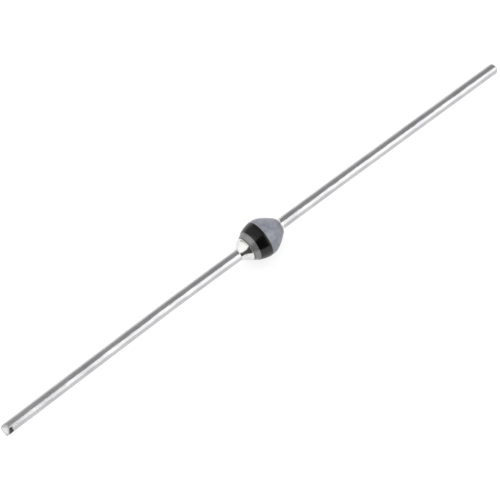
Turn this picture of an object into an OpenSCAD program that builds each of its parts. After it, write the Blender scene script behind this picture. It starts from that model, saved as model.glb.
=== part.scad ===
// Axial rectifier diode in a sintered glass bead.
// X runs along the leads, +X towards the anode lead, and +Z is up.
// The origin is on the lead axis, in the middle of the glass.

/* [Glass bead] */
// Diameter of the bead at its widest circle
bead_d = 3.75; // [3.4:0.05:4.4]
// Length of the glass along the leads
bead_len = 3.95; // [3.6:0.05:4.6]
// Distance of the widest circle from the cathode end of the glass
belly_x = 1.62; // [1.4:0.02:1.9]
// Diameter of the glass where it meets the cathode collar
cathode_rim_d = 2.42; // [2.3:0.02:2.8]
// Angle between the lead axis and the glass flank at the cathode rim
cathode_flank_angle = 35; // [30:1:50]
// Diameter of the flat anode end of the glass
anode_rim_d = 1.45; // [1.4:0.01:1.8]
// Radius of the rounded shoulder round the anode end
anode_shoulder_r = 0.2; // [0.1:0.01:0.3]
// Angle between the lead axis and the glass flank at the anode shoulder
anode_flank_angle = 40; // [35:1:55]

/* [Cathode band] */
// Width of the painted band along the lead axis, up to the widest circle
band_w = 1.08; // [0.6:0.02:1.3]
// Thickness of the fired paint
band_t = 0.03; // [0.02:0.005:0.06]

/* [Junction stack] */
// Thickness of the silicon die
die_t = 0.28; // [0.2:0.02:0.4]
// Diameter of the die at its wide cathode face
die_d = 1.26; // [1:0.02:1.3]
// Inset of the die's bevelled edge at its anode face
die_bevel = 0.08; // [0.04:0.01:0.12]
// Thickness of each braze disc between the die and a stud
braze_t = 0.06; // [0.04:0.01:0.1]
// Diameter of the molybdenum stud on the cathode side
cathode_stud_d = 2.2; // [1.8:0.02:2.24]
// Diameter of the molybdenum stud on the anode side
anode_stud_d = 1.32; // [1.2:0.02:1.36]

/* [Collars] */
// Diameter of the cathode collar where it sits on its stud
cathode_collar_d = 2.38; // [2.1:0.02:2.4]
// Length of the cathode collar along the lead
cathode_collar_len = 0.68; // [0.5:0.02:0.8]
// How far the flank of the cathode collar swells out from a straight cone
cathode_collar_swell = 0.14; // [0:0.01:0.16]
// Diameter of the anode collar where it sits on its stud
anode_collar_d = 1.42; // [1.3:0.02:1.44]
// Length of the anode collar along the lead
anode_collar_len = 0.6; // [0.4:0.02:0.9]
// How far the flank of the anode collar swells out from a straight cone
anode_collar_swell = 0.04; // [0:0.01:0.06]

/* [Leads] */
// Diameter of the tinned copper wire
wire_d = 1.1; // [0.8:0.02:1.16]
// Length of wire from the glass to the tip, along each lead
lead_len = 28.5; // [24:0.5:36]
// Straight wire between the glass and the bend
straight_len = 8.6; // [5:0.2:12]
// Radius of the gentle bend in each lead
bend_r = 60; // [30:5:90]
// Angle by which the cathode lead droops
cathode_droop = 2; // [0.2:0.1:3]
// Angle by which the anode lead droops
anode_droop = 0.5; // [0.2:0.1:3]

/* [Lead tips] */
// Length of the long bevel that the cutter left on the cathode tip
long_bevel_len = 0.78; // [0.4:0.02:1]
// Angle between the wire's axis and the long bevel
long_bevel_angle = 30; // [20:1:40]
// Length of the short bevel above it
short_bevel_len = 0.6; // [0.3:0.02:0.7]
// Angle between the wire's axis and the short bevel
short_bevel_angle = 45; // [35:1:50]
// Turn of the short bevel about the wire, from straight up towards the front
cutter_turn = 24; // [0:1:90]
// Further turn of the long bevel
bevel_spread = 28; // [10:1:60]
// Radius of the rounded edge of the anode tip
tip_r = 0.26; // [0.1:0.02:0.4]

/* [Hidden] */
// Faces round a full turn, and steps along each curved stretch of a profile
$fn = 96;
flank_steps = 10;
shoulder_steps = 6;
// The bend in a lead is this much thicker than the wire all round, and the straight
// stretches reach this far into it, so that the three fuse into one solid.
bend_skin = 0.001;
lap = 0.02;

bead_r = bead_d / 2;
wire_r = wire_d / 2;
glass_end = bead_len / 2;
die_face = die_t / 2;
stud_face = die_face + braze_t;
die_wide_r = die_d / 2;
die_narrow_r = die_wide_r - die_bevel;
cathode_stud_r = cathode_stud_d / 2;
anode_stud_r = anode_stud_d / 2;

// Every profile point is [radius, position along X].

// Point at t on the curve that leaves a towards c and comes to b from c
function curve(a, c, b, t) = (1 - t) * (1 - t) * a + 2 * t * (1 - t) * c + t * t * b;

// Points on that curve between two values of t
function stretch(a, c, b, from, to, steps) =
    [for (i = [0 : steps]) curve(a, c, b, from + (to - from) * i / steps)];

// Value of t at which the curve passes a position along X
function reach(a, c, b, x) =
    let (
        k2 = a[1] - 2 * c[1] + b[1],
        k1 = 2 * (c[1] - a[1]),
        k0 = a[1] - x
    )
    abs(k2) < 1e-9 ? -k0 / k1 : (sqrt(k1 * k1 - 4 * k2 * k0) - k1) / (2 * k2);

// Outward unit normal of the curve at t
function outward(a, c, b, t) =
    let (d = (1 - t) * (c - a) + t * (b - c))
    [d[1], -d[0]] / norm(d);

function reversed(points) = [for (i = [len(points) - 1 : -1 : 0]) points[i]];

belly = [bead_r, belly_x - glass_end];
cathode_rim = [cathode_rim_d / 2, -glass_end];
cathode_pull = [bead_r, cathode_rim[1] + (bead_r - cathode_rim[0]) / tan(cathode_flank_angle)];

shoulder_centre = [anode_rim_d / 2, glass_end - anode_shoulder_r];
shoulder_start = shoulder_centre
    + anode_shoulder_r * [cos(anode_flank_angle), sin(anode_flank_angle)];
anode_pull = [bead_r, shoulder_start[1] - (bead_r - shoulder_start[0]) / tan(anode_flank_angle)];

band_from = reach(cathode_rim, cathode_pull, belly, belly[1] - band_w);

// Glass under the band, shared by the bead and the band
band_seat = stretch(cathode_rim, cathode_pull, belly, band_from, 1, flank_steps);

glass_outside = concat(
    stretch(cathode_rim, cathode_pull, belly, 0, band_from, flank_steps),
    band_seat,
    stretch(belly, anode_pull, shoulder_start, 0, 1, 2 * flank_steps),
    [for (i = [1 : shoulder_steps])
        let (a = anode_flank_angle + (90 - anode_flank_angle) * i / shoulder_steps)
        shoulder_centre + anode_shoulder_r * [cos(a), sin(a)]]
);

// Outline of the studs, braze discs and die, which the glass is fused onto
stack_outline = [
    [cathode_stud_r, -glass_end],
    [cathode_stud_r, -stud_face],
    [die_wide_r, -stud_face],
    [die_wide_r, -die_face],
    [die_narrow_r, die_face],
    [die_narrow_r, stud_face],
    [anode_stud_r, stud_face],
    [anode_stud_r, glass_end]
];

// Drops points that repeat the one before them
function distinct(points) =
    [for (i = [0 : len(points) - 1]) if (i == 0 || norm(points[i] - points[i - 1]) > 1e-6) points[i]];

// Solid of revolution about the X axis
module turned(points) {
    rotate([0, 90, 0])
        rotate_extrude()
            polygon(distinct(points));
}

// Round slug on the X axis, from one position to another
module slug(x_from, x_to, r_from, r_to) {
    translate([x_from, 0, 0])
        rotate([0, 90, 0])
            cylinder(r1 = r_from, r2 = r_to, h = x_to - x_from);
}

module glass_bead() {
    color([0.58, 0.58, 0.63])
        turned(concat(glass_outside, reversed(stack_outline)));
}

module cathode_band() {
    paint_top = [for (i = [0 : flank_steps])
        let (t = band_from + (1 - band_from) * i / flank_steps)
        band_seat[i] + band_t * outward(cathode_rim, cathode_pull, belly, t)];
    color([0.04, 0.04, 0.05])
        turned(concat(paint_top, reversed(band_seat)));
}

module cathode_stud() {
    color([0.55, 0.56, 0.58])
        slug(-glass_end, -stud_face, cathode_stud_r, cathode_stud_r);
}

module cathode_braze_disc() {
    color([0.8, 0.8, 0.82])
        slug(-stud_face, -die_face, die_wide_r, die_wide_r);
}

module silicon_die() {
    color([0.25, 0.26, 0.3])
        slug(-die_face, die_face, die_wide_r, die_narrow_r);
}

module anode_braze_disc() {
    color([0.8, 0.8, 0.82])
        slug(die_face, stud_face, die_narrow_r, die_narrow_r);
}

module anode_stud() {
    color([0.55, 0.56, 0.58])
        slug(stud_face, glass_end, anode_stud_r, anode_stud_r);
}

// Fillet of braze round the wire, on the end of a stud on the +X side
module collar(base_d, length, swell) {
    base = [base_d / 2, glass_end];
    crest = [wire_r, glass_end + length];
    slope = (base - crest) / norm(base - crest);
    pull = (base + crest) / 2 + 2 * swell * [-slope[1], slope[0]];
    color([0.84, 0.84, 0.85])
        turned(concat([[wire_r, glass_end]], stretch(base, pull, crest, 0, 1, flank_steps)));
}

module cathode_collar() {
    mirror([1, 0, 0])
        collar(cathode_collar_d, cathode_collar_len, cathode_collar_swell);
}

module anode_collar() {
    collar(anode_collar_d, anode_collar_len, anode_collar_swell);
}

// Wire left between the end of the bend and the tip
function run_len(droop) = lead_len - straight_len - bend_r * droop * PI / 180;

// Lead on the +X side: straight wire from the stud, a gentle bend down, and the run that
// is given as the child, which starts at its own origin and goes up its Z axis.
module lead(droop) {
    bend_x = glass_end + straight_len;
    slug(glass_end, bend_x + lap, wire_r, wire_r);
    translate([bend_x, 0, -bend_r])
        rotate([90, 0, 0])
            rotate([0, 0, 90 - droop])
                rotate_extrude(angle = droop)
                    translate([bend_r, 0])
                        circle(r = wire_r + bend_skin);
    translate([bend_x + bend_r * sin(droop), 0, bend_r * (cos(droop) - 1)])
        rotate([0, 90 + droop, 0])
            children();
}

// Block that takes a bevel off the end of a run, on the side that turn gives
module bevel_block(run, turn, length, angle) {
    rotate([0, 0, turn])
        translate([wire_r, 0, run - length])
            rotate([0, -angle, 0])
                translate([0, -wire_d, -2 * wire_d])
                    cube([2 * wire_d, 2 * wire_d, 5 * wire_d]);
}

// Straight run whose tip a side cutter nipped off, with a long and a short bevel
module nipped_run(run) {
    // the run's own X points down, so straight up is half a turn from it
    short_turn = 180 + cutter_turn;
    difference() {
        translate([0, 0, -lap])
            cylinder(r = wire_r, h = run + lap);
        bevel_block(run, short_turn, short_bevel_len, short_bevel_angle);
        bevel_block(run, short_turn + bevel_spread, long_bevel_len, long_bevel_angle);
    }
}

// Straight run whose tip has a rounded edge
module rounded_run(run) {
    rotate_extrude()
        polygon(concat(
            [[0, -lap], [wire_r, -lap]],
            [for (i = [0 : shoulder_steps])
                let (a = 90 * i / shoulder_steps)
                [wire_r, run] + tip_r * [cos(a) - 1, sin(a) - 1]],
            [[0, run]]
        ));
}

module cathode_lead() {
    color([0.78, 0.78, 0.8])
        mirror([1, 0, 0])
            lead(cathode_droop)
                nipped_run(run_len(cathode_droop));
}

module anode_lead() {
    color([0.78, 0.78, 0.8])
        lead(anode_droop)
            rounded_run(run_len(anode_droop));
}

glass_bead();
cathode_band();
cathode_stud();
cathode_braze_disc();
silicon_die();
anode_braze_disc();
anode_stud();
cathode_collar();
anode_collar();
cathode_lead();
anode_lead();
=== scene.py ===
import bpy
import math
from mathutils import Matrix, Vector


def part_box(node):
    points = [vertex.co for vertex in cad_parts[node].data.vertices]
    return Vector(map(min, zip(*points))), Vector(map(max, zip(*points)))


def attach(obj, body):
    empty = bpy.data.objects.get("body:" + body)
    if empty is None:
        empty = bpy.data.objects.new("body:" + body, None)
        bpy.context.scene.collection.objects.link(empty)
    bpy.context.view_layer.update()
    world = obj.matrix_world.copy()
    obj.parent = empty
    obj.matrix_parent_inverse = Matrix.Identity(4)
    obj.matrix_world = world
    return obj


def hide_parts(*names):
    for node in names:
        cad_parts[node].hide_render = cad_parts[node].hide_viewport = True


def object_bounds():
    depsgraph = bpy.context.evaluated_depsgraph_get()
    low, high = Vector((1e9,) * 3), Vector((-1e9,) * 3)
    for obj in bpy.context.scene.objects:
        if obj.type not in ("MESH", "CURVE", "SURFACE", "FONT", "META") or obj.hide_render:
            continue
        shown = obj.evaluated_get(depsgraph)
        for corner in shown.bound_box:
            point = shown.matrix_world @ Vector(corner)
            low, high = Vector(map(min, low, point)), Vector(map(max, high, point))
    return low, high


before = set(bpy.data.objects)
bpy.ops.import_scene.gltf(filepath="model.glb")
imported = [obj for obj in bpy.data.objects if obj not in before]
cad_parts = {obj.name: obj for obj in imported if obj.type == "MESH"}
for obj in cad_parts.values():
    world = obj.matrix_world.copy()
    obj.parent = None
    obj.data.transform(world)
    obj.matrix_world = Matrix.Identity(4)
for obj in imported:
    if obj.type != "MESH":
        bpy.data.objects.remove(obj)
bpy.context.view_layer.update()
mm = 0.001
mergeGap = 0.0005 * mm               # vertices nearer than this are one
print("frame loaded")


# small helpers

def deselectAll():
    if bpy.context.object and bpy.context.object.mode != "OBJECT":
        bpy.ops.object.mode_set(mode="OBJECT")
    bpy.ops.object.select_all(action="DESELECT")


def pick(piece):
    deselectAll()
    piece.select_set(True)
    bpy.context.view_layer.objects.active = piece


def clearPicks(piece, kind):
    # sets whether vertices, edges or faces are picked, with none of them picked yet
    bpy.context.view_layer.objects.active = piece
    bpy.ops.object.mode_set(mode="EDIT")
    bpy.ops.mesh.select_mode(type=kind)
    bpy.ops.mesh.select_all(action="DESELECT")
    bpy.ops.object.mode_set(mode="OBJECT")


def lift(pieceName, x, radius, sides):
    # a ring of vertices round the X axis, left in edit mode with all of it selected
    deselectAll()
    bpy.ops.mesh.primitive_circle_add(
        vertices=sides, radius=radius, location=(x, 0, 0), rotation=(0, math.pi / 2, 0))
    piece = bpy.context.object
    piece.name = pieceName
    piece.data.name = pieceName
    bpy.ops.object.transform_apply(location=True, rotation=True, scale=True)
    bpy.ops.object.mode_set(mode="EDIT")
    bpy.ops.mesh.select_all(action="SELECT")
    return piece


def lathe(pieceName, outline, sides):
    # rings pulled along a closed outline of (x, radius), the last one welded onto the first
    x, radius = outline[0]
    piece = lift(pieceName, x, radius, sides)
    for nextX, nextRadius in outline[1:] + outline[:1]:
        bpy.ops.mesh.extrude_region_move(TRANSFORM_OT_translate={"value": (nextX - x, 0, 0)})
        grow = nextRadius / radius
        bpy.ops.transform.resize(value=(1, grow, grow), center_override=(nextX, 0, 0))
        x, radius = nextX, nextRadius
    bpy.ops.mesh.select_all(action="SELECT")
    bpy.ops.mesh.remove_doubles(threshold=mergeGap)
    bpy.ops.mesh.normals_make_consistent(inside=False)
    bpy.ops.object.mode_set(mode="OBJECT")
    return piece


def smooth(piece, degrees):
    pick(piece)
    bpy.ops.object.shade_smooth_by_angle(angle=math.radians(degrees))


def unevenness(piece, direction, strength, grain, group=""):
    # a cloud texture nudges the surface, and the result is applied
    clouds = bpy.data.textures.new(piece.name + "Clouds", "CLOUDS")
    clouds.noise_scale = grain
    clouds.noise_depth = 1
    pick(piece)
    nudge = piece.modifiers.new("nudge", "DISPLACE")
    nudge.texture = clouds
    nudge.texture_coords = "LOCAL"
    nudge.direction = direction
    nudge.strength = strength
    nudge.mid_level = 0.5
    nudge.vertex_group = group
    bpy.ops.object.modifier_apply(modifier=nudge.name)


def curve(start, pull, end, t):
    # a bow from start to end that leans towards pull, all of them (x, radius)
    return ((1 - t) ** 2 * start[0] + 2 * t * (1 - t) * pull[0] + t * t * end[0],
            (1 - t) ** 2 * start[1] + 2 * t * (1 - t) * pull[1] + t * t * end[1])


def stretch(start, pull, end, fromT, toT, steps):
    return [curve(start, pull, end, fromT + (toT - fromT) * i / steps) for i in range(steps + 1)]


def reach(start, pull, end, x):
    # how far along the bow it passes x, from 0 to 1
    k2 = start[0] - 2 * pull[0] + end[0]
    k1 = 2 * (pull[0] - start[0])
    k0 = start[0] - x
    if abs(k2) < 1e-12:
        return -k0 / k1                  # evenly spaced, so the passing point is in proportion
    return (math.sqrt(k1 * k1 - 4 * k2 * k0) - k1) / (2 * k2)


# shader groups and helpers

def nodeGroup(groupName, inputs, outputs):
    tree = bpy.data.node_groups.new(groupName, "ShaderNodeTree")
    for name, value in inputs:
        socket = tree.interface.new_socket(name=name, in_out="INPUT", socket_type="NodeSocketFloat")
        socket.default_value = value
    for name in outputs:
        tree.interface.new_socket(name=name, in_out="OUTPUT", socket_type="NodeSocketFloat")
    return tree, tree.nodes.new("NodeGroupInput"), tree.nodes.new("NodeGroupOutput")


def mottleGroup():
    # soft cloudy patches and fine grain from Object coordinates, 0 to 1
    tree, inside, outside = nodeGroup(
        "mottle", [("Scale", 1000), ("Detail", 4), ("Low", 0.3), ("High", 0.7)], ["Mask"])
    place = tree.nodes.new("ShaderNodeTexCoord")
    noise = tree.nodes.new("ShaderNodeTexNoise")
    spread = tree.nodes.new("ShaderNodeMapRange")
    link = tree.links.new
    link(place.outputs["Object"], noise.inputs["Vector"])
    link(inside.outputs["Scale"], noise.inputs["Scale"])
    link(inside.outputs["Detail"], noise.inputs["Detail"])
    link(noise.outputs["Fac"], spread.inputs["Value"])
    link(inside.outputs["Low"], spread.inputs["From Min"])
    link(inside.outputs["High"], spread.inputs["From Max"])
    link(spread.outputs["Result"], outside.inputs["Mask"])
    return tree


def drawnGroup():
    # fine marks that run along X, as a die leaves on wire
    tree, inside, outside = nodeGroup(
        "drawnMarks", [("Across", 9000), ("Along", 250), ("Low", 0.35), ("High", 0.65)], ["Mask"])
    place = tree.nodes.new("ShaderNodeTexCoord")
    size = tree.nodes.new("ShaderNodeCombineXYZ")
    squeeze = tree.nodes.new("ShaderNodeMapping")
    noise = tree.nodes.new("ShaderNodeTexNoise")
    spread = tree.nodes.new("ShaderNodeMapRange")
    noise.inputs["Scale"].default_value = 1
    noise.inputs["Detail"].default_value = 3
    link = tree.links.new
    link(inside.outputs["Along"], size.inputs["X"])
    link(inside.outputs["Across"], size.inputs["Y"])
    link(inside.outputs["Across"], size.inputs["Z"])
    link(size.outputs["Vector"], squeeze.inputs["Scale"])
    link(place.outputs["Object"], squeeze.inputs["Vector"])
    link(squeeze.outputs["Vector"], noise.inputs["Vector"])
    link(noise.outputs["Fac"], spread.inputs["Value"])
    link(inside.outputs["Low"], spread.inputs["From Min"])
    link(inside.outputs["High"], spread.inputs["From Max"])
    link(spread.outputs["Result"], outside.inputs["Mask"])
    return tree


mottle = mottleGroup()
drawnMarks = drawnGroup()


def newMaterial(materialName):
    material = bpy.data.materials.new(materialName)
    material.use_nodes = True
    return material, material.node_tree, material.node_tree.nodes["Principled BSDF"]


def useGroup(tree, group, **values):
    node = tree.nodes.new("ShaderNodeGroup")
    node.node_tree = group
    for name, value in values.items():
        node.inputs[name].default_value = value
    return node.outputs["Mask"]


def blendColours(tree, mask, low, high):
    mix = tree.nodes.new("ShaderNodeMix")
    mix.data_type = "RGBA"
    # the colour sockets share their names with the number and vector ones, so they go by place
    for socket, colour in ((mix.inputs[6], low), (mix.inputs[7], high)):
        if isinstance(colour, tuple):
            socket.default_value = (*colour, 1)
        else:
            tree.links.new(colour, socket)
    tree.links.new(mask, mix.inputs[0])
    return mix.outputs[2]


def feed(tree, sockets, name, value):
    # a number is written on the socket and anything else is linked to it
    if isinstance(value, (int, float)):
        sockets[name].default_value = value
    else:
        tree.links.new(value, sockets[name])


def mathNode(tree, operation, first, second):
    node = tree.nodes.new("ShaderNodeMath")
    node.operation = operation
    feed(tree, node.inputs, 0, first)
    feed(tree, node.inputs, 1, second)
    return node.outputs[0]


def ramp(tree, value, fromMin, fromMax):
    # a soft step from 0 to 1
    node = tree.nodes.new("ShaderNodeMapRange")
    node.interpolation_type = "SMOOTHSTEP"
    node.inputs["From Min"].default_value = fromMin
    node.inputs["From Max"].default_value = fromMax
    tree.links.new(value, node.inputs["Value"])
    return node.outputs["Result"]


def mixValue(tree, mask, low, high):
    node = tree.nodes.new("ShaderNodeMix")
    node.data_type = "FLOAT"
    for name, value in (("Factor", mask), ("A", low), ("B", high)):
        feed(tree, node.inputs, name, value)
    return node.outputs["Result"]


def alongMask(tree, fromX, toX):
    # 0 before fromX and 1 beyond toX, along the leads
    place = tree.nodes.new("ShaderNodeTexCoord")
    parts = tree.nodes.new("ShaderNodeSeparateXYZ")
    tree.links.new(place.outputs["Object"], parts.inputs["Vector"])
    return ramp(tree, parts.outputs["X"], fromX, toX)


def blendValues(tree, mask, low, high):
    span = tree.nodes.new("ShaderNodeMapRange")
    span.inputs["To Min"].default_value = low
    span.inputs["To Max"].default_value = high
    tree.links.new(mask, span.inputs["Value"])
    return span.outputs["Result"]


def setSurface(tree, surface, colour, roughness, metallic):
    tree.links.new(colour, surface.inputs["Base Color"])
    tree.links.new(roughness, surface.inputs["Roughness"])
    feed(tree, surface.inputs, "Metallic", metallic)


def bump(tree, surface, height, depth, under=None):
    node = tree.nodes.new("ShaderNodeBump")
    node.inputs["Distance"].default_value = depth
    node.inputs["Strength"].default_value = 1
    tree.links.new(height, node.inputs["Height"])
    if under:
        tree.links.new(under, node.inputs["Normal"])
    tree.links.new(node.outputs["Normal"], surface.inputs["Normal"])
    return node.outputs["Normal"]


# the glass bead

bead = {
    "sides": 128,
    "flankSteps": 24,
    "shoulderSteps": 8,
    "rimRadius": 1.21 * mm,          # where the glass meets the cathode collar
    "cathodeFlank": 35,              # degrees between the lead axis and the glass at that rim
    "endRadius": 0.725 * mm,         # flat anode end
    "anodeFlank": 40,
    "shoulder": 0.2 * mm,
    "belly": 0.05 * mm,              # position of the widest circle along X
    "colour": (0.232, 0.239, 0.29),
    "paleColour": (0.335, 0.342, 0.397),
    "ior": 1.62,
    "rippleDepth": 0.006 * mm,
    "grainDepth": 0.0008 * mm,
    "smoothAngle": 35,
    "sealColour": (0.28, 0.28, 0.285),       # greyer glass over the cathode stud
    "sealMetal": 0.5,                        # how far the stud's metal shows through it
    "collarSeamShade": (0.1, 0.1, 0.1),           # painted shade, a dark line on the glass in the crevice where it meets the collar
    "anodeEndShade": (0.2, 0.2, 0.225),          # painted shade that darkens the glass towards the anode end
    "sealBlend": (-1.5 * mm, -1.1 * mm),     # where each of those colours ends, along X
    "collarSeamShadeBlend": (-1.95 * mm, -1.89 * mm),
    "anodeEndShadeBlend": (0.9 * mm, 2.0 * mm),
    "roughness": (0.2, 0.34),
}


def beadCurves():
    # both flanks of the glass, and the centre of the round shoulder at its anode end
    low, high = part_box("glass_bead")
    radius = high.z
    rim = (low.x, bead["rimRadius"])
    belly = (bead["belly"], radius)
    fall = (radius - bead["rimRadius"]) / math.tan(math.radians(bead["cathodeFlank"]))
    cathodePull = (low.x + fall, radius)
    lean = math.radians(bead["anodeFlank"])
    centre = (high.x - bead["shoulder"], bead["endRadius"])
    corner = (centre[0] + bead["shoulder"] * math.sin(lean),
              centre[1] + bead["shoulder"] * math.cos(lean))
    anodePull = (corner[0] - (radius - corner[1]) / math.tan(lean), radius)
    return rim, cathodePull, belly, anodePull, corner, centre


def makeBead():
    rim, cathodePull, belly, anodePull, corner, centre = beadCurves()
    steps = bead["flankSteps"]
    outline = stretch(rim, cathodePull, belly, 0, 1, steps)
    outline += stretch(belly, anodePull, corner, 0, 1, steps)[1:]
    sweep = 90 - bead["anodeFlank"]
    for i in range(1, bead["shoulderSteps"] + 1):
        turn = math.radians(bead["anodeFlank"] + sweep * i / bead["shoulderSteps"])
        outline.append((centre[0] + bead["shoulder"] * math.sin(turn),
                        centre[1] + bead["shoulder"] * math.cos(turn)))
    # the cavity that the sealed pieces fill, from the anode end back
    for node in ("anode_stud", "anode_braze_disc", "cathode_braze_disc", "cathode_stud"):
        low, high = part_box(node)
        outline += [(high.x, high.z), (low.x, high.z)]
    piece = lathe("glassBead", outline, bead["sides"])
    smooth(piece, bead["smoothAngle"])
    return piece


def beadGlass():
    material, tree, surface = newMaterial("beadGlass")
    clouds = useGroup(tree, mottle, Scale=2600, Detail=6, Low=0.32, High=0.68)
    grain = useGroup(tree, mottle, Scale=9000, Detail=2, Low=0.3, High=0.7)
    colour = blendColours(tree, clouds, bead["colour"], bead["paleColour"])
    overStud = alongMask(tree, *bead["sealBlend"])
    colour = blendColours(tree, overStud, bead["sealColour"], colour)
    # painted shade: darkens the glass in a thin line next to the cathode collar
    colour = blendColours(tree, alongMask(tree, *bead["collarSeamShadeBlend"]), bead["collarSeamShade"], colour)
    # painted shade: the glass darkens towards the anode end
    colour = blendColours(tree, alongMask(tree, *bead["anodeEndShadeBlend"]), colour, bead["anodeEndShade"])
    setSurface(tree, surface, colour, blendValues(tree, grain, *bead["roughness"]),
               blendValues(tree, overStud, bead["sealMetal"], 0))
    surface.inputs["IOR"].default_value = bead["ior"]
    ripples = bump(tree, surface, clouds, bead["rippleDepth"])
    bump(tree, surface, grain, bead["grainDepth"], ripples)
    return material


# the painted band

band = {
    "sides": 128,
    "steps": 20,
    "edgeWander": 0.05 * mm,         # how far the painted edges stray from a true circle
    "edgeGrain": 1.1 * mm,
    "edgeZone": 0.06 * mm,           # how wide the strip at each edge is that strays
    "edgeSlope": 22,                 # degrees, of the glass under the edge by the rim
    "overlap": 0.05 * mm,            # how far the brushed paint runs past its seat
    "bite": 0.01 * mm,               # how deep its inner skin lies in the glass
    "colour": (0.001, 0.001, 0.0015),
    "wornColour": (0.004, 0.004, 0.005),
    "ior": 1.52,
    "sagDepth": 0.004 * mm,
    "speckDepth": 0.0006 * mm,
    "smoothAngle": 50,
    "roughness": (0.15, 0.26),
}


def makeBand():
    rim, cathodePull, belly, _, _, _ = beadCurves()
    low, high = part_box("cathode_band")
    thickness = high.z - belly[1]
    # the paint's near edge leans with the glass, so its lowest x is a little before the seat's
    lean = thickness * math.sin(math.radians(band["edgeSlope"]))
    startT = reach(rim, cathodePull, belly, low.x + lean)
    endT = reach(rim, cathodePull, belly, high.x + band["overlap"])
    under = stretch(rim, cathodePull, belly, startT, endT, band["steps"])
    over = []
    for i, (x, radius) in enumerate(under):
        before, after = under[max(i - 1, 0)], under[min(i + 1, len(under) - 1)]
        along = Vector((after[0] - before[0], after[1] - before[1])).normalized()
        over.append((x - along.y * thickness, radius + along.x * thickness))
    under = [(x, radius - band["bite"]) for x, radius in under]
    piece = lathe("cathodeBand", over + under[::-1], band["sides"])
    edges = piece.vertex_groups.new(name="edges")
    for end in (over[0][0], over[-1][0]):
        near = [v.index for v in piece.data.vertices if abs(v.co.x - end) < band["edgeZone"]]
        edges.add(near, 1, "REPLACE")
    unevenness(piece, "X", band["edgeWander"], band["edgeGrain"], "edges")
    smooth(piece, band["smoothAngle"])
    return piece


def bandPaint():
    material, tree, surface = newMaterial("bandPaint")
    specks = useGroup(tree, mottle, Scale=7000, Detail=3, Low=0.45, High=0.8)
    sags = useGroup(tree, mottle, Scale=1200, Detail=2, Low=0.3, High=0.7)
    setSurface(tree, surface, blendColours(tree, specks, band["colour"], band["wornColour"]),
               blendValues(tree, specks, *band["roughness"]), 0)
    surface.inputs["IOR"].default_value = band["ior"]
    waves = bump(tree, surface, sags, band["sagDepth"])
    bump(tree, surface, specks, band["speckDepth"], waves)
    return material


# the collars

collar = {
    "sides": 96,
    "steps": 10,
    # from the glass outwards: distance from it, and height over the wire as a share of the rim's
    "cathodeRim": ((0, 0.96), (0.01 * mm, 1), (0.03 * mm, 1)),
    "cathodeShoulder": ((0.03 * mm, 1), (0.24 * mm, 0.9), (0.36 * mm, 0.75)),
    "cathodeMeniscus": ((0.66 * mm, 0.36), (0.86 * mm, 0.08), (1 * mm, 0)),
    "anodeRim": ((0, 0.9), (0.01 * mm, 1), (0.03 * mm, 1)),
    "anodeShoulder": ((0.03 * mm, 1), (0.08 * mm, 1), (0.1 * mm, 0.8)),
    "anodeMeniscus": ((0.12 * mm, 0.7), (0.25 * mm, 0.05), (0.5 * mm, 0)),
    "anodeLean": 24,                 # degrees by which its outer edge leans forward
    "anodeSag": 0.05 * mm,
    "uprightShare": 0.02,            # share of the collar's length that stays upright
    "leanRate": 1.5,                 # full lean is reached at 1 / leanRate of that length
    "sagRate": 1.2,
    "standOff": 0.003 * mm,          # thickness of the braze where it runs out on the wire
    "bite": 0.98,                    # radius of its inner skin as a share of the wire's
    "lumps": 0.02 * mm,
    "lumpGrain": 0.7 * mm,
    "lumpsFrom": 1.02,               # lumps start outside this share of the wire's radius
    "evenZone": 0.06 * mm,           # next to the glass, where there are no lumps
    "flowDepth": 0.006 * mm,
    "smoothAngle": 40,
    "colour": (0.93, 0.93, 0.92),
    "dullColour": (0.80, 0.80, 0.79),
    "roughness": (0.14, 0.26),
}


def makeCollar(pieceName, node, wireRadius, rim, shoulder, meniscus):
    low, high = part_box(node)
    side = 1 if high.x > 0 else -1
    seat = low.x if side > 0 else high.x
    rise = high.z - wireRadius
    outline = []
    for bow in (rim, shoulder, meniscus):
        start, pull, end = ((seat + side * out, wireRadius + collar["standOff"] + rise * height)
                            for out, height in bow)
        outline += stretch(start, pull, end, 0, 1, collar["steps"])
    inner = wireRadius * collar["bite"]
    outline += [(outline[-1][0], inner), (seat, inner)]
    piece = lathe(pieceName, outline, collar["sides"])
    flank = piece.vertex_groups.new(name="flank")
    free = [v.index for v in piece.data.vertices
            if math.hypot(v.co.y, v.co.z) > wireRadius * collar["lumpsFrom"]
            and abs(v.co.x - seat) > collar["evenZone"]]
    flank.add(free, 1, "REPLACE")
    unevenness(piece, "NORMAL", collar["lumps"], collar["lumpGrain"], "flank")
    smooth(piece, collar["smoothAngle"])
    return piece


def leanForward(piece, seat, degrees, sag):
    # tips the rings of a collar about Z, more and more from the glass outwards, and lets them sag
    rings = {}
    for v in piece.data.vertices:
        rings.setdefault(round(v.co.x / mm, 4), []).append(v.index)
    last = max(rings) * mm
    for place in sorted(rings):
        x = place * mm
        share = (x - seat) / (last - seat)
        if share < collar["uprightShare"]:
            continue
        clearPicks(piece, "VERT")
        for i in rings[place]:
            piece.data.vertices[i].select = True
        bpy.ops.object.mode_set(mode="EDIT")
        turn = math.radians(degrees) * min(1, share * collar["leanRate"])
        bpy.ops.transform.rotate(value=turn, orient_axis="Z", center_override=(x, 0, 0))
        bpy.ops.transform.resize(value=(1, 1 / math.cos(turn), 1), center_override=(x, 0, 0))
        drop = sag * math.sin(math.pi * min(1, share * collar["sagRate"]))
        bpy.ops.transform.translate(value=(0, -drop, -drop / 2))
        bpy.ops.object.mode_set(mode="OBJECT")


def brightBraze():
    material, tree, surface = newMaterial("brightBraze")
    patches = useGroup(tree, mottle, Scale=2500, Detail=4, Low=0.4, High=0.75)
    flow = useGroup(tree, mottle, Scale=1500, Detail=2, Low=0.2, High=0.8)
    setSurface(tree, surface, blendColours(tree, patches, collar["colour"], collar["dullColour"]),
               blendValues(tree, patches, *collar["roughness"]), 1)
    bump(tree, surface, flow, collar["flowDepth"])
    return material


# the leads

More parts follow.
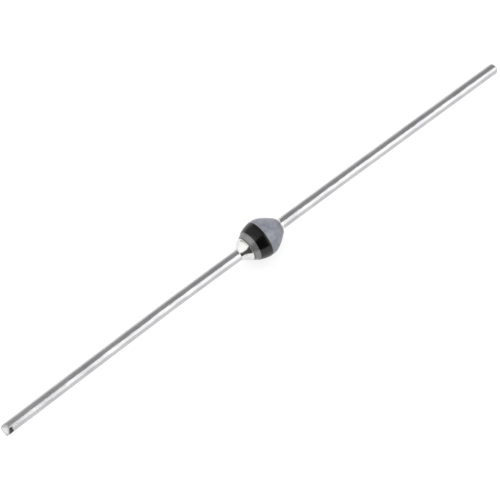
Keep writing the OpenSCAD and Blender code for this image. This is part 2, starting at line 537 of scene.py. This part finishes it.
lead = {
    "sides": 64,
    "straightSteps": 12,
    "bendSteps": 8,
    "runSteps": 40,
    "length": 28.5 * mm,             # along the wire, from the glass to the tip
    "straight": 8.6 * mm,            # from the glass to the bend
    "bendRadius": 60 * mm,
    "spare": 0.2 * mm,               # extra wire that the cut takes off
    "cathodeDroop": 2,               # degrees
    "anodeDroop": 0.5,
    "wander": 0.05 * mm,             # how far the wire strays from a true line
    "wanderGrain": 9 * mm,
    "shortBevel": (0.42 * mm, 68, 18),       # length, angle to the axis, turn from straight up
    "longBevel": (0.72 * mm, 30, 66),
    "tipZone": 2 * mm,               # stretch in which edges are rounded
    "sharpEdge": 20,                 # degrees above which an edge is rounded
    "nippedEdge": (0.2 * mm, 4),     # rounding of the edges that the cutter left, and its steps
    "roundedEdge": (0.26 * mm, 7),   # rounding of the other tip
    "flatRim": 0.01 * mm,            # narrow rim that keeps the flats of a tip flat
    "flatCorners": 8,                # a face with more corners than this is one of those flats
    "cutZone": 1.2 * mm,             # stretch that the cutter marked
    "endFacing": -0.8,               # X of the normal on the nipped end itself
    "tipShadeFacing": (-0.1, -0.5),     # X and Y of the normal where the painted shade on the nipped tip stops
    "cutRim": 0.001 * mm,            # first step in from the edge of the nipped end
    "cutMiddle": 0.72,               # share of the nipped end that is bright
    "colour": (0.68, 0.68, 0.69),
    "dullColour": (0.56, 0.56, 0.575),
    "cutColour": (0.9, 0.9, 0.9),
    "burrColour": (0.62, 0.62, 0.62),
    # painted shade on the nipped tip, dark with paler patches
    "tipShadeColour": (0.03, 0.03, 0.03),
    "tipShadePaler": (0.1, 0.1, 0.095),
    "roughness": (0.13, 0.24),
    "cutRoughness": (0.25, 0.45),
    "tipShadeRoughness": (0.35, 0.55),
    "metallic": 0.82,                # the tin is a little oxidised
    "grooveDepth": 0.006 * mm,
    "pitDepth": 0.0015 * mm,
    "tearDepth": 0.01 * mm,
    "tipShadeDepth": 0.008 * mm,
    "smoothAngle": 30,
}


def makeLead(pieceName, node, side, droop):
    low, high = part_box(node)
    wireRadius = high.y
    glassEnd = high.x if side < 0 else low.x
    turn = math.radians(droop)
    piece = lift(pieceName, glassEnd, wireRadius, lead["sides"])
    bpy.ops.mesh.edge_face_add()
    step = side * lead["straight"] / lead["straightSteps"]
    for _ in range(lead["straightSteps"]):
        bpy.ops.mesh.extrude_region_move(TRANSFORM_OT_translate={"value": (step, 0, 0)})
    bendX = glassEnd + side * lead["straight"]
    bpy.ops.mesh.spin(steps=lead["bendSteps"], angle=turn, center=(bendX, 0, -lead["bendRadius"]),
                      axis=(0, -side, 0))
    run = lead["length"] - lead["straight"] - lead["bendRadius"] * turn
    axis = Vector((side * math.cos(turn), 0, -math.sin(turn)))
    step = axis * ((run + lead["spare"]) / lead["runSteps"])
    for _ in range(lead["runSteps"]):
        bpy.ops.mesh.extrude_region_move(TRANSFORM_OT_translate={"value": step})
    bpy.ops.mesh.select_all(action="SELECT")
    bpy.ops.mesh.normals_make_consistent(inside=False)
    bpy.ops.object.mode_set(mode="OBJECT")
    end = Vector((bendX + side * lead["bendRadius"] * math.sin(turn), 0,
                  lead["bendRadius"] * (math.cos(turn) - 1))) + axis * run
    return piece, axis, end


def cutAway(piece, point, normal):
    # cuts off what lies beyond a plane and closes the cut
    bpy.context.view_layer.objects.active = piece
    bpy.ops.object.mode_set(mode="EDIT")
    bpy.ops.mesh.select_all(action="SELECT")
    bpy.ops.mesh.bisect(plane_co=point, plane_no=normal, use_fill=True, clear_outer=True)
    bpy.ops.object.mode_set(mode="OBJECT")


def isFlat(face):
    return len(face.vertices) > lead["flatCorners"]


def softenTip(piece, point, size, steps):
    # rounds the sharp edges near the tip, and keeps the flats between them flat
    clearPicks(piece, "EDGE")
    bpy.ops.object.mode_set(mode="EDIT")
    bpy.ops.mesh.edges_select_sharp(sharpness=math.radians(lead["sharpEdge"]))
    bpy.ops.object.mode_set(mode="OBJECT")
    for edge in piece.data.edges:
        ends = [piece.data.vertices[i].co for i in edge.vertices]
        near = all((place - point).length < lead["tipZone"] for place in ends)
        edge.select = edge.select and near
    bpy.ops.object.mode_set(mode="EDIT")
    bpy.ops.mesh.bevel(offset=size, segments=steps, affect="EDGES", clamp_overlap=True)
    clearPicks(piece, "FACE")
    for face in piece.data.polygons:
        face.select = isFlat(face) and (Vector(face.center) - point).length < lead["tipZone"]
    bpy.ops.object.mode_set(mode="EDIT")
    bpy.ops.mesh.inset(thickness=lead["flatRim"], use_individual=True)
    bpy.ops.mesh.select_mode(type="VERT")
    bpy.ops.object.mode_set(mode="OBJECT")


def finishLead(piece):
    unevenness(piece, "Z", lead["wander"], lead["wanderGrain"])
    smooth(piece, lead["smoothAngle"])


def makeCathodeLead():
    piece, axis, end = makeLead("cathodeLead", "cathode_lead", -1, lead["cathodeDroop"])
    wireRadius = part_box("cathode_lead")[1].y
    front = Vector((0, -1, 0))
    up = axis.cross(front).normalized()
    cutAway(piece, end, axis)
    for length, angle, turn in (lead["shortBevel"], lead["longBevel"]):
        out = up * math.cos(math.radians(turn)) + front * math.sin(math.radians(turn))
        foot = end - axis * length + out * wireRadius
        slope = math.radians(angle)
        cutAway(piece, foot, out * math.cos(slope) + axis * math.sin(slope))
    softenTip(piece, end, *lead["nippedEdge"])
    finishLead(piece)
    return piece


def makeAnodeLead():
    piece, axis, end = makeLead("anodeLead", "anode_lead", 1, lead["anodeDroop"])
    cutAway(piece, end, axis)
    softenTip(piece, end, *lead["roundedEdge"])
    finishLead(piece)
    return piece


def tinnedWire():
    material, tree, surface = newMaterial("tinnedWire")
    marks = useGroup(tree, drawnMarks, Across=7000, Along=1000, Low=0.3, High=0.7)
    patches = useGroup(tree, mottle, Scale=450, Detail=5, Low=0.4, High=0.7)
    pits = useGroup(tree, mottle, Scale=4600, Detail=3, Low=0.3, High=0.7)
    setSurface(tree, surface, blendColours(tree, patches, lead["colour"], lead["dullColour"]),
               blendValues(tree, marks, *lead["roughness"]), lead["metallic"])
    grooves = bump(tree, surface, marks, lead["grooveDepth"])
    bump(tree, surface, pits, lead["pitDepth"], grooves)
    return material


def cutFace():
    # bare metal that the cutter left bright in the middle of the tip
    material, tree, surface = newMaterial("cutFace")
    tears = useGroup(tree, mottle, Scale=3200, Detail=4, Low=0.45, High=0.75)
    setSurface(tree, surface, blendColours(tree, tears, lead["cutColour"], lead["burrColour"]),
               blendValues(tree, tears, *lead["cutRoughness"]), 1)
    bump(tree, surface, tears, lead["tearDepth"])
    return material


def paintedTipShade():
    # painted shade: a dark patch on the forward facing faces of the nipped tip, standing in for the
    # shade there
    material, tree, surface = newMaterial("paintedTipShade")
    tears = useGroup(tree, mottle, Scale=4200, Detail=4, Low=0.35, High=0.75)
    setSurface(tree, surface, blendColours(tree, tears, lead["tipShadeColour"], lead["tipShadePaler"]),
               blendValues(tree, tears, *lead["tipShadeRoughness"]), 0)
    bump(tree, surface, tears, lead["tipShadeDepth"])
    return material


def markCut(piece, bright, tipShadeMaterial):
    # the end face gets a bright finish of its own, and the forward facing faces by the tip get
    # painted shade
    piece.data.materials.append(bright)
    piece.data.materials.append(tipShadeMaterial)
    brightSlot, tipShadeSlot = 1, 2         # the wire's own finish is 0
    tip = min(v.co.x for v in piece.data.vertices)
    shadeFacingX, shadeFacingY = lead["tipShadeFacing"]
    clearPicks(piece, "FACE")
    for face in piece.data.polygons:
        if face.center.x >= tip + lead["cutZone"]:
            continue
        # faces by the tip that face forward get the painted shade
        if lead["endFacing"] < face.normal.x < shadeFacingX and face.normal.y < shadeFacingY:
            face.material_index = tipShadeSlot
        elif isFlat(face) and face.normal.x < lead["endFacing"]:
            face.select = True
            middle = Vector(face.center)
    bpy.ops.object.mode_set(mode="EDIT")
    bpy.ops.mesh.inset(thickness=lead["cutRim"], use_even_offset=False)
    bpy.ops.transform.resize(value=[lead["cutMiddle"]] * 3, center_override=middle)
    bpy.ops.object.mode_set(mode="OBJECT")
    for face in piece.data.polygons:
        if face.select:
            face.material_index = brightSlot


# what the glass hides

hidden = {
    # dark and pale colour, metallic, roughness
    "cathode_stud": ((0.36, 0.37, 0.39), (0.48, 0.49, 0.51), 1, (0.3, 0.5)),
    "anode_stud": ((0.36, 0.37, 0.39), (0.48, 0.49, 0.51), 1, (0.3, 0.5)),
    "cathode_braze_disc": ((0.66, 0.66, 0.68), (0.76, 0.76, 0.78), 1, (0.35, 0.6)),
    "anode_braze_disc": ((0.66, 0.66, 0.68), (0.76, 0.76, 0.78), 1, (0.35, 0.6)),
    "silicon_die": ((0.13, 0.14, 0.17), (0.2, 0.21, 0.25), 0, (0.15, 0.35)),
}


def innerMaterial(node, low, high, metallic, roughness):
    material, tree, surface = newMaterial(node + "Finish")
    patches = useGroup(tree, mottle, Scale=3000, Detail=4, Low=0.35, High=0.7)
    turned = useGroup(tree, mottle, Scale=14000, Detail=2, Low=0.3, High=0.7)
    setSurface(tree, surface, blendColours(tree, patches, low, high),
               blendValues(tree, turned, *roughness), metallic)
    bump(tree, surface, turned, 0.001 * mm)
    return material


# put together

def dress(piece, material, node):
    piece.data.materials.clear()
    piece.data.materials.append(material)
    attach(piece, "root")
    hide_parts(node)


dress(makeBead(), beadGlass(), "glass_bead")
print("bead made")
dress(makeBand(), bandPaint(), "cathode_band")
print("band made")

braze = brightBraze()
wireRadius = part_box("anode_lead")[1].y
cathodeCollar = makeCollar("cathodeCollar", "cathode_collar", wireRadius,
                           collar["cathodeRim"], collar["cathodeShoulder"], collar["cathodeMeniscus"])
dress(cathodeCollar, braze, "cathode_collar")
anodeCollar = makeCollar("anodeCollar", "anode_collar", wireRadius,
                         collar["anodeRim"], collar["anodeShoulder"], collar["anodeMeniscus"])
leanForward(anodeCollar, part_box("anode_collar")[0].x, collar["anodeLean"], collar["anodeSag"])
dress(anodeCollar, braze, "anode_collar")
print("collars made")

tin = tinnedWire()
cathodeLead = makeCathodeLead()
dress(cathodeLead, tin, "cathode_lead")
markCut(cathodeLead, cutFace(), paintedTipShade())
dress(makeAnodeLead(), tin, "anode_lead")
print("leads made")

for node, finish in hidden.items():
    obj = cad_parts[node]
    obj.data.materials.clear()
    obj.data.materials.append(innerMaterial(node, *finish))
print("inner pieces finished")


# studio

studio = {
    "azimuth": -40.78,
    "elevation": 58.52,
    "distance": 187.7 * mm,
    "lens": 143.9,
    "aimRight": -1.166 * mm,         # from the middle of the bead, in the camera's own plane
    "aimUp": -1.185 * mm,
    "floorSize": 2.0,
    "ambient": 0.95,                 # light on matt surfaces
    "wall": 0.5,                     # what gloss and metal see behind the part and overhead
    "farWall": 0.22,                 # behind on the right
    "skirting": 0.8,                 # low down behind on the right
    "sideWall": 1.05,                # behind on the left
    "softbox": 1.66,                 # in front on the right
    "sill": 0.8,                     # below the softbox
    "darkGap": 0.05,                 # in front on the left, the dark room behind the camera
    # where those areas begin and end, as X, Y or Z of the direction looked in
    "behindEdge": (-0.34, -0.16),
    "softboxEdge": (0.07, 0.13),
    "softboxFoot": (0.05, 0.3),
    "sideWallEdge": (-0.28, -0.5),
    "farWallEdge": (-0.1, 0.25),
    "skirtingTop": (0.5, 0.1),
    "paperColour": 0.34,
    "paper": (0.76, 0.6),            # added glow of the floor, as seen directly and in reflections
    "floorGap": 0.002 * mm,
}


def makeCamera():
    azimuth = math.radians(studio["azimuth"])
    elevation = math.radians(studio["elevation"])
    level = math.cos(elevation)
    back = Vector((math.sin(azimuth) * level, -math.cos(azimuth) * level, math.sin(elevation)))
    right = Vector((math.cos(azimuth), math.sin(azimuth), 0))
    up = back.cross(right)
    aim = right * studio["aimRight"] + up * studio["aimUp"]
    deselectAll()
    bpy.ops.object.camera_add(location=aim + back * studio["distance"])
    camera = bpy.context.object
    camera.rotation_euler = back.to_track_quat("Z", "Y").to_euler()
    camera.data.lens = studio["lens"]
    camera.data.sensor_width = 36
    camera.data.clip_start = 0.001
    camera.data.clip_end = 10
    bpy.context.scene.camera = camera


def seenPlain(tree, seen):
    # what the camera sees straight or through glass
    return mathNode(tree, "MAXIMUM", seen.outputs["Is Camera Ray"],
                    seen.outputs["Is Transmission Ray"])


def makeFloor():
    deselectAll()
    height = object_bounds()[0].z - studio["floorGap"]
    bpy.ops.mesh.primitive_plane_add(size=studio["floorSize"], location=(0, 0, height))
    floor = bpy.context.object
    floor.name = "floor"
    material = bpy.data.materials.new("floorPaper")
    material.use_nodes = True
    tree = material.node_tree
    tree.nodes.clear()
    out = tree.nodes.new("ShaderNodeOutputMaterial")
    paper = tree.nodes.new("ShaderNodeBsdfDiffuse")
    paper.inputs["Color"].default_value = (*[studio["paperColour"]] * 3, 1)
    glow = tree.nodes.new("ShaderNodeEmission")
    seen = tree.nodes.new("ShaderNodeLightPath")
    plain = seenPlain(tree, seen)
    direct = mathNode(tree, "MULTIPLY", plain, studio["paper"][0])
    mirrored = mathNode(tree, "MULTIPLY", seen.outputs["Is Glossy Ray"], studio["paper"][1])
    tree.links.new(mathNode(tree, "ADD", direct, mirrored), glow.inputs["Strength"])
    both = tree.nodes.new("ShaderNodeAddShader")
    tree.links.new(paper.outputs["BSDF"], both.inputs[0])
    tree.links.new(glow.outputs["Emission"], both.inputs[1])
    tree.links.new(both.outputs["Shader"], out.inputs["Surface"])
    floor.data.materials.append(material)


def makeWorld():
    world = bpy.data.worlds.new("studio")
    bpy.context.scene.world = world
    world.use_nodes = True
    tree = world.node_tree
    background = tree.nodes["Background"]
    background.inputs["Color"].default_value = (1, 1, 1, 1)
    place = tree.nodes.new("ShaderNodeTexCoord")
    parts = tree.nodes.new("ShaderNodeSeparateXYZ")
    tree.links.new(place.outputs["Generated"], parts.inputs["Vector"])
    x, y, z = (parts.outputs[axis] for axis in "XYZ")
    behind = ramp(tree, y, *studio["behindEdge"])
    right = ramp(tree, x, *studio["softboxEdge"])
    high = ramp(tree, z, *studio["softboxFoot"])
    leftOpen = ramp(tree, x, *studio["sideWallEdge"])
    farSide = ramp(tree, x, *studio["farWallEdge"])
    low = ramp(tree, z, *studio["skirtingTop"])
    box = mixValue(tree, high, studio["sill"], studio["softbox"])
    ahead = mixValue(tree, right, studio["darkGap"], box)
    farRear = mixValue(tree, low, studio["farWall"], studio["skirting"])
    rear = mixValue(tree, farSide, studio["wall"], farRear)
    rear = mixValue(tree, leftOpen, rear, studio["sideWall"])
    gloss = mixValue(tree, behind, ahead, rear)
    seen = tree.nodes.new("ShaderNodeLightPath")
    level = mixValue(tree, seen.outputs["Is Glossy Ray"], studio["ambient"], gloss)
    plain = seenPlain(tree, seen)
    level = mixValue(tree, plain, level, 1.0)
    tree.links.new(level, background.inputs["Strength"])


makeCamera()
makeFloor()
makeWorld()
bpy.context.scene.view_settings.view_transform = "Standard"
print("studio ready")
